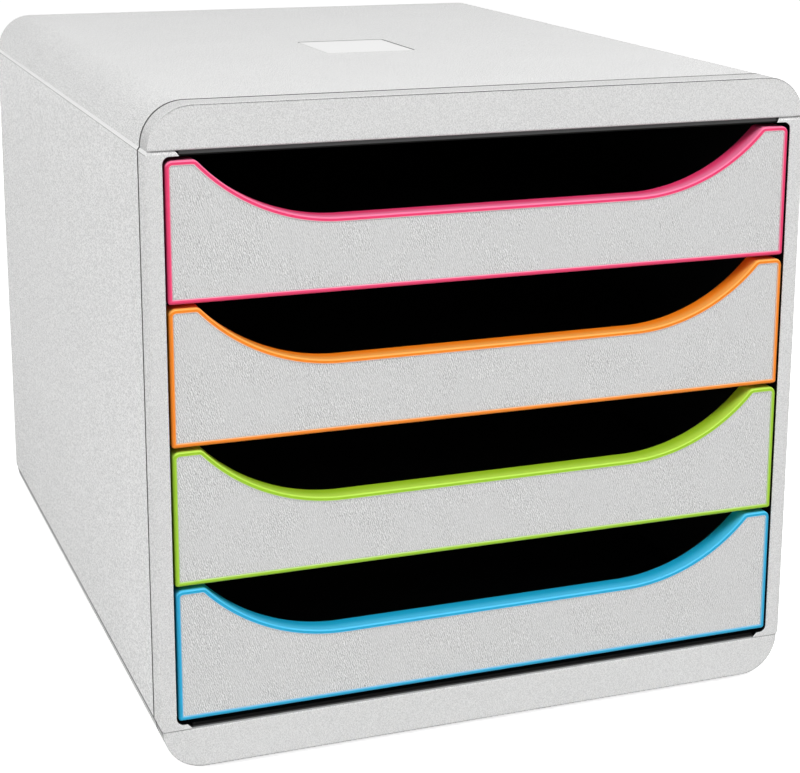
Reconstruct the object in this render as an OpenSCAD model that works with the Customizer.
// Desk drawer tower: a light grey casing with four scooped drawers, each in a
// coloured front frame. The casing is two end caps, two side panels and a back
// around a dark carcass, whose ledges carry the drawers.
// X runs across the front, the front faces -Y and Z is up. The origin is the
// middle of the footprint, on the surface that the feet stand on.
// Drawers are counted from the bottom.

/* [Casing] */
// Width across the side panels
casing_w = 278; // [250:1:320]
// Depth from the front face to the back edge
casing_d = 347; // [320:1:400]
// Height of the casing without its feet
casing_h = 265; // [240:1:320]
// Height of each end cap, which is also the radius of its long edges
cap_h = 17; // [12:0.5:24]
// Wall thickness of the caps, side panels and back
skin_t = 2.5; // [2:0.1:3.5]
// How far each cap's side lies inside the side panel's face
cap_step = 0.8; // [0.3:0.1:1.5]
// Height of the chamfer along each side panel's top and bottom edge
chamfer_h = 1.2; // [0.6:0.1:2.5]
// Rounding of the casing's front and back edges
edge_r = 2; // [0.5:0.1:2.4]
// Distance of the shadow groove behind the front face
groove_y = 12; // [8:0.5:20]
// Width of the shadow groove
groove_w = 1.8; // [0.5:0.1:2]
// Depth of the shadow groove
groove_t = 1.2; // [0.3:0.1:1.2]
// How far the back panel lies inside the back edge
back_step = 1; // [0:0.1:3]

/* [Front opening] */
// Width of each front stile
stile_w = 6.3; // [5.5:0.1:12]
// Depth of each front stile
stile_d = 12; // [8:0.5:20]
// Reach of the stiles' corner returns into the opening
return_w = 6.4; // [4:0.1:10]
// Corner radius of the opening
opening_r = 3; // [1:0.1:5]

/* [Carcass] */
// Thickness of the top and floor liners
liner_t = 2; // [1.2:0.1:3]
// How far the liners' front edges lie behind the front face
liner_step = 1; // [0:0.1:2]
// Thickness of the runner walls
runner_t = 1.6; // [1.2:0.1:2]
// Width of the ledges that carry the drawers
ledge_w = 10; // [7:0.5:16]
// Thickness of those ledges
ledge_t = 2; // [1.2:0.1:3]

/* [Drawer fronts] */
// Gap above, between and below the drawer fronts
front_gap = 1.7; // [0.8:0.1:3]
// Gap between a front and each stile
side_gap = 0.8; // [0.5:0.1:1.5]
// Depth of the coloured frame
rim_d = 9; // [7:0.5:11]
// Width of the coloured trim around the panel
trim_w = 1.9; // [1.2:0.1:2.6]
// Thickness of the frame's web behind the panel
web_t = 1.8; // [1.2:0.1:2.5]
// Thickness of the grey front panel
panel_t = 2; // [1.2:0.1:3]
// How far the panel lies inside the frame's front edge
panel_step = 0.4; // [0:0.1:1]
// Radius of the front's top corners
top_r = 3; // [0.5:0.1:6]
// Radius of the front's bottom corners
bottom_r = 1.2; // [0.5:0.1:6]
// Depth of the scoop below the front's top
scoop_h = 25.3; // [15:0.1:32]
// Width of the scoop's flat
scoop_flat = 126; // [60:1:150]
// Radius of the scoop's ends
scoop_r = 77; // [40:1:90]
// Radius where the scoop meets the front's top
ear_r = 3; // [2.8:0.1:5]

/* [Trays] */
// Wall thickness of a tray
tray_t = 2; // [1.2:0.1:3]
// Thickness of a tray's floor
tray_floor_t = 2; // [1.2:0.1:3]
// How far a tray's side lies inside its front's side
tray_step = 0.9; // [0.5:0.1:2]
// Height of a tray's underside above its front's lower edge
tray_lift = 2.4; // [2.4:0.1:5]
// How far a tray's top lies below its front's top
tray_drop = 3; // [1:0.1:8]
// How far a tray's scoop lies below its frame's scoop
tray_scoop_drop = 0.5; // [0:0.1:1]
// Free space behind a closed tray
tray_back_gap = 10; // [4:1:25]
// Radius of a tray's upright corners
tray_r = 4; // [3.2:0.1:8]
// Travel of a drawer from closed to its stop
travel = 240; // [180:1:250]
// Length of the stop tabs on a tray's sides
stop_l = 8; // [4:1:15]
// Height of those stop tabs
stop_h = 12; // [6:1:20]

/* [Feet] */
// Diameter of a rubber foot
foot_d = 18; // [10:1:24]
// Height that a foot stands proud of the base
foot_h = 2; // [1:0.1:4]
// Depth of a foot's seat in the base
foot_seat = 0.8; // [0.4:0.1:1.5]
// Distance of a foot's middle from the casing's side
foot_x = 32; // [28:1:60]
// Distance of a foot's middle from the casing's front or back
foot_y = 30; // [18:1:60]

/* [Badge] */
// Width of the blank badge on the top
badge_w = 41; // [20:1:60]
// Length of the blank badge from front to back
badge_l = 45; // [20:1:80]
// Thickness of the badge
badge_t = 0.7; // [0.4:0.1:1.2]
// Depth of the badge's face below the top
badge_step = 0.1; // [0:0.05:0.4]
// Distance of the badge's middle to the right of the casing's middle
badge_x = -4; // [-60:1:60]
// Distance of the badge's middle behind the front face
badge_y = 158; // [60:1:250]

/* [Clearances] */
// Running clearance between a drawer and the casing
run_gap = 0.3; // [0.2:0.05:0.6]
// Smallest radius of a corner that is set inside another
least_r = 0.3; // [0.1:0.1:0.6]
// Clearance around a piece that is set into another
fit_gap = 0.1; // [0.05:0.01:0.3]

/* [Hidden] */
$fn = 96;

drawers = 4;
rim_colours = ["deepskyblue", "yellowgreen", "darkorange", "hotpink"];
casing_colour = "gainsboro";
carcass_colour = "dimgray";
tray_colour = "black";

// Casing: faces and levels
half_w = casing_w / 2;
front_y = -casing_d / 2;
back_y = casing_d / 2;
base_z = foot_h;
top_z = base_z + casing_h;
base_seam_z = base_z + cap_h;
top_seam_z = top_z - cap_h;
side_h = top_seam_z - base_seam_z;
cap_half_w = half_w - cap_step;
panel_inner_x = half_w - skin_t;

// Opening and carcass
opening_x = half_w - stile_w;
opening_low_z = base_seam_z + liner_t;
opening_high_z = top_seam_z - liner_t;
opening_h = opening_high_z - opening_low_z;
stile_back_y = front_y + stile_d;
back_panel_y = back_y - back_step - skin_t;
runner_x = panel_inner_x - runner_t;
carcass_l = back_panel_y - stile_back_y;

// Drawer fronts
front_h = (opening_h - (drawers + 1) * front_gap) / drawers;
front_x = opening_x - side_gap;
scoop_z = front_h - scoop_h;
scoop_centre_z = scoop_z + scoop_r;
ear_centre_z = front_h - ear_r;
ear_centre_x = scoop_flat / 2
    + sqrt(pow(scoop_r + ear_r, 2) - pow(scoop_centre_z - ear_centre_z, 2));
panel_seat = panel_step + panel_t;

// Trays
tray_x = front_x - tray_step;
tray_front_y = front_y + rim_d;
tray_back_y = back_panel_y - tray_back_gap;
tray_h = front_h - tray_drop - tray_lift;
stop_y = stile_back_y + travel + run_gap;

// Overlap that makes a cut run clear of a face
cut = 1;

function front_z(i) = opening_low_z + front_gap + (i - 1) * (front_h + front_gap);

// ---- Shared shapes ----

// A flat shape drawn in X and Z, made into a plate from y to y + depth
module upright(y, depth) {
    translate([0, y + depth, 0])
        rotate([90, 0, 0])
            linear_extrude(depth)
                children();
}

// The same piece on the left and on the right
module mirrored_pair() {
    children();
    mirror([1, 0, 0]) children();
}

// A rectangle with round corners, from low to high
module round_rectangle(low, high, r_low, r_high) {
    r_max = max(r_low, r_high);
    translate([low.x, low.y + r_low])
        square([high.x - low.x, high.y - low.y - r_low - r_high]);
    translate([low.x + r_low, low.y])
        square([high.x - low.x - 2 * r_low, r_max]);
    translate([low.x + r_high, high.y - r_max])
        square([high.x - low.x - 2 * r_high, r_max]);
    for (x = [low.x + r_low, high.x - r_low])
        translate([x, low.y + r_low]) circle(r_low);
    for (x = [low.x + r_high, high.x - r_high])
        translate([x, high.y - r_high]) circle(r_high);
}

// ---- Casing ----

// Section of a cap: X is the height away from the seam, Y runs front to back
module cap_section() {
    difference() {
        union() {
            translate([0, front_y]) square([cap_h - edge_r, casing_d]);
            translate([0, front_y + edge_r]) square([cap_h, casing_d - 2 * edge_r]);
            for (y = [front_y + edge_r, back_y - edge_r])
                translate([cap_h - edge_r, y]) circle(edge_r);
        }
        translate([cap_h - groove_t, front_y + groove_y]) square([groove_t + cut, groove_w]);
    }
}

// Section of a cap's hollow
module cap_hollow_section() {
    translate([0, front_y + skin_t]) square([cap_h - skin_t, casing_d - 2 * skin_t]);
}

// A section run across the casing and round both long edges, down from z = 0
module cap_form() {
    corner_x = cap_half_w - cap_h;
    rotate([0, 90, 0])
        linear_extrude(2 * corner_x, center = true)
            children();
    mirrored_pair()
        translate([corner_x, 0, 0])
            rotate([-90, 0, 0])
                rotate_extrude(angle = 90)
                    children();
}

// The shell that both caps share, open at the seam
module cap_shell() {
    hollow_x = cap_half_w - skin_t;
    difference() {
        cap_form() cap_section();
        union() {
            cap_form() cap_hollow_section();
            translate([-hollow_x, front_y + skin_t, 0])
                cube([2 * hollow_x, casing_d - 2 * skin_t, cut]);
        }
    }
}

module top_cap() {
    seat_w = badge_w + 2 * fit_gap;
    seat_l = badge_l + 2 * fit_gap;
    color(casing_colour)
        difference() {
            translate([0, 0, top_seam_z]) mirror([0, 0, 1]) cap_shell();
            translate([
                badge_x - seat_w / 2, front_y + badge_y - seat_l / 2, top_z - badge_step - badge_t
            ])
                cube([seat_w, seat_l, badge_step + badge_t + cut]);
        }
}

module base_cap() {
    color(casing_colour)
        difference() {
            translate([0, 0, base_seam_z]) cap_shell();
            for (side_x = [-1, 1], side_y = [-1, 1])
                translate([side_x * (half_w - foot_x), side_y * (casing_d / 2 - foot_y), base_z - cut])
                    cylinder(d = foot_d + 2 * fit_gap, h = foot_seat + cut);
        }
}

// What rounding an edge at the origin takes away, where the piece lies towards -X and +Y
module edge_waste() {
    difference() {
        translate([-edge_r, -cut]) square([edge_r + cut, edge_r + cut]);
        translate([-edge_r, edge_r]) circle(edge_r);
    }
}

// Plan of the right side panel with its front stile
module side_panel_plan() {
    difference() {
        union() {
            translate([panel_inner_x, front_y]) square([skin_t, casing_d]);
            translate([opening_x, front_y]) square([stile_w, stile_d]);
        }
        translate([half_w, front_y]) edge_waste();
        translate([half_w, back_y]) mirror([0, 1]) edge_waste();
        translate([half_w - groove_t, front_y + groove_y]) square([groove_t + cut, groove_w]);
    }
}

// The stile's lower corner in the opening, seen from the front, with the seam at z = 0
module stile_return() {
    polygon([
        [opening_x - return_w, 0],
        [opening_x - return_w + liner_t, liner_t],
        [opening_x + cut, liner_t],
        [opening_x + cut, 0]
    ]);
    difference() {
        translate([opening_x - opening_r, liner_t]) square([opening_r + cut, opening_r]);
        translate([opening_x - opening_r, liner_t + opening_r]) circle(opening_r);
    }
}

// The chamfer cut from the panel's lower edge, seen from the front, with the seam at z = 0
module side_chamfer() {
    polygon([
        [half_w - cap_step, 0],
        [half_w, chamfer_h],
        [half_w + cut, chamfer_h],
        [half_w + cut, -cut],
        [half_w - cap_step, -cut]
    ]);
}

module right_side() {
    difference() {
        union() {
            translate([0, 0, base_seam_z]) linear_extrude(side_h) side_panel_plan();
            translate([0, 0, base_seam_z]) upright(front_y, stile_d) stile_return();
            translate([0, 0, top_seam_z]) mirror([0, 0, 1]) upright(front_y, stile_d) stile_return();
        }
        translate([0, 0, base_seam_z]) upright(front_y - cut, casing_d + 2 * cut) side_chamfer();
        translate([0, 0, top_seam_z])
            mirror([0, 0, 1])
                upright(front_y - cut, casing_d + 2 * cut)
                    side_chamfer();
    }
}

module right_side_panel() {
    color(casing_colour) right_side();
}

module left_side_panel() {
    color(casing_colour) mirror([1, 0, 0]) right_side();
}

module back_panel() {
    color(casing_colour)
        translate([-panel_inner_x, back_panel_y, base_seam_z])
            cube([2 * panel_inner_x, skin_t, side_h]);
}

module foot(side_x, side_y) {
    color("dimgray")
        translate([side_x * (half_w - foot_x), side_y * (casing_d / 2 - foot_y), 0])
            cylinder(d = foot_d, h = foot_h + foot_seat);
}

module blank_badge() {
    color("whitesmoke")
        translate([
            badge_x - badge_w / 2, front_y + badge_y - badge_l / 2, top_z - badge_step - badge_t
        ])
            cube([badge_w, badge_l, badge_t]);
}

// ---- Carcass ----

// A wall against the side panel, with one ledge under each drawer
module runner_wall() {
    translate([runner_x, stile_back_y, base_seam_z]) cube([runner_t, carcass_l, side_h]);
    for (i = [1:drawers])
        translate([runner_x - ledge_w, stile_back_y, front_z(i) + tray_lift - run_gap - ledge_t])
            cube([ledge_w + runner_t / 2, carcass_l, ledge_t]);
}

module right_runner_wall() {
    color(carcass_colour) runner_wall();
}

module left_runner_wall() {
    color(carcass_colour) mirror([1, 0, 0]) runner_wall();
}

// A plate between the runner walls, with a tongue that shows between the stiles
module liner(z) {
    tongue_x = opening_x - return_w;
    color(carcass_colour) {
        translate([-runner_x, stile_back_y, z]) cube([2 * runner_x, carcass_l, liner_t]);
        translate([-tongue_x, front_y + liner_step, z])
            cube([2 * tongue_x, stile_d - liner_step + cut, liner_t]);
    }
}

// ---- Drawers ----

// The scoop's empty space, with every edge moved outwards by grow
module scoop(grow) {
    level = scoop_z - grow;
    translate([-scoop_flat / 2, level]) square([scoop_flat, front_h - level + cut]);
    mirrored_pair() {
        translate([scoop_flat / 2, scoop_centre_z]) circle(scoop_r + grow);
        ear_tip(grow);
    }
}

// The sharp corner between scoop and top edge, cut back to a round one
module ear_tip(grow) {
    reach = (scoop_r + grow) / (scoop_r + ear_r);
    run = ear_centre_x - scoop_flat / 2;
    touch = [scoop_flat / 2 + reach * run, scoop_centre_z + reach * (ear_centre_z - scoop_centre_z)];
    difference() {
        polygon([
            [touch.x, touch.y],
            [ear_centre_x, ear_centre_z],
            [ear_centre_x, front_h + cut],
            [touch.x - ear_r, front_h + cut]
        ]);
        translate([ear_centre_x, ear_centre_z]) circle(ear_r - grow);
    }
}

// Outline of a drawer front, with every edge moved inwards by inset
module front_outline(inset) {
    difference() {
        round_rectangle(
            [-front_x + inset, inset], [front_x - inset, front_h - inset],
            max(bottom_r - inset, least_r), max(top_r - inset, least_r)
        );
        scoop(inset);
    }
}

module drawer_rim(i) {
    hollow_d = rim_d - panel_seat - web_t;
    color(rim_colours[i - 1])
        translate([0, 0, front_z(i)])
            difference() {
                upright(front_y, rim_d) front_outline(0);
                upright(front_y - cut, panel_seat + cut) front_outline(trim_w);
                upright(front_y + rim_d - hollow_d, hollow_d + cut) front_outline(trim_w);
            }
}

module drawer_panel(i) {
    color(casing_colour)
        translate([0, 0, front_z(i)])
            upright(front_y + panel_step, panel_t)
                front_outline(trim_w + fit_gap);
}

module drawer_tray(i) {
    color(tray_colour)
        translate([0, 0, front_z(i)]) {
            difference() {
                translate([0, 0, tray_lift])
                    linear_extrude(tray_h)
                        round_rectangle([-tray_x, tray_front_y], [tray_x, tray_back_y], tray_r, tray_r);
                translate([0, 0, tray_lift + tray_floor_t])
                    linear_extrude(tray_h)
                        round_rectangle(
                            [-tray_x + tray_t, tray_front_y + tray_t],
                            [tray_x - tray_t, tray_back_y - tray_t],
                            tray_r - tray_t, tray_r - tray_t
                        );
                upright(tray_front_y - cut, tray_t + 2 * cut) scoop(tray_scoop_drop);
            }
            mirrored_pair()
                translate([tray_x - tray_t / 2, stop_y, tray_lift + tray_h - stop_h])
                    cube([runner_x - run_gap - tray_x + tray_t / 2, stop_l, stop_h]);
        }
}

top_cap();
base_cap();
left_side_panel();
right_side_panel();
back_panel();
left_runner_wall();
right_runner_wall();
liner(opening_high_z);  // top_liner
liner(base_seam_z);  // floor_liner
blank_badge();
foot(-1, -1);  // front_left_foot
foot(1, -1);  // front_right_foot
foot(-1, 1);  // rear_left_foot
foot(1, 1);  // rear_right_foot
for (i = [1:drawers]) {
    drawer_tray(i);
    drawer_rim(i);
    drawer_panel(i);
}
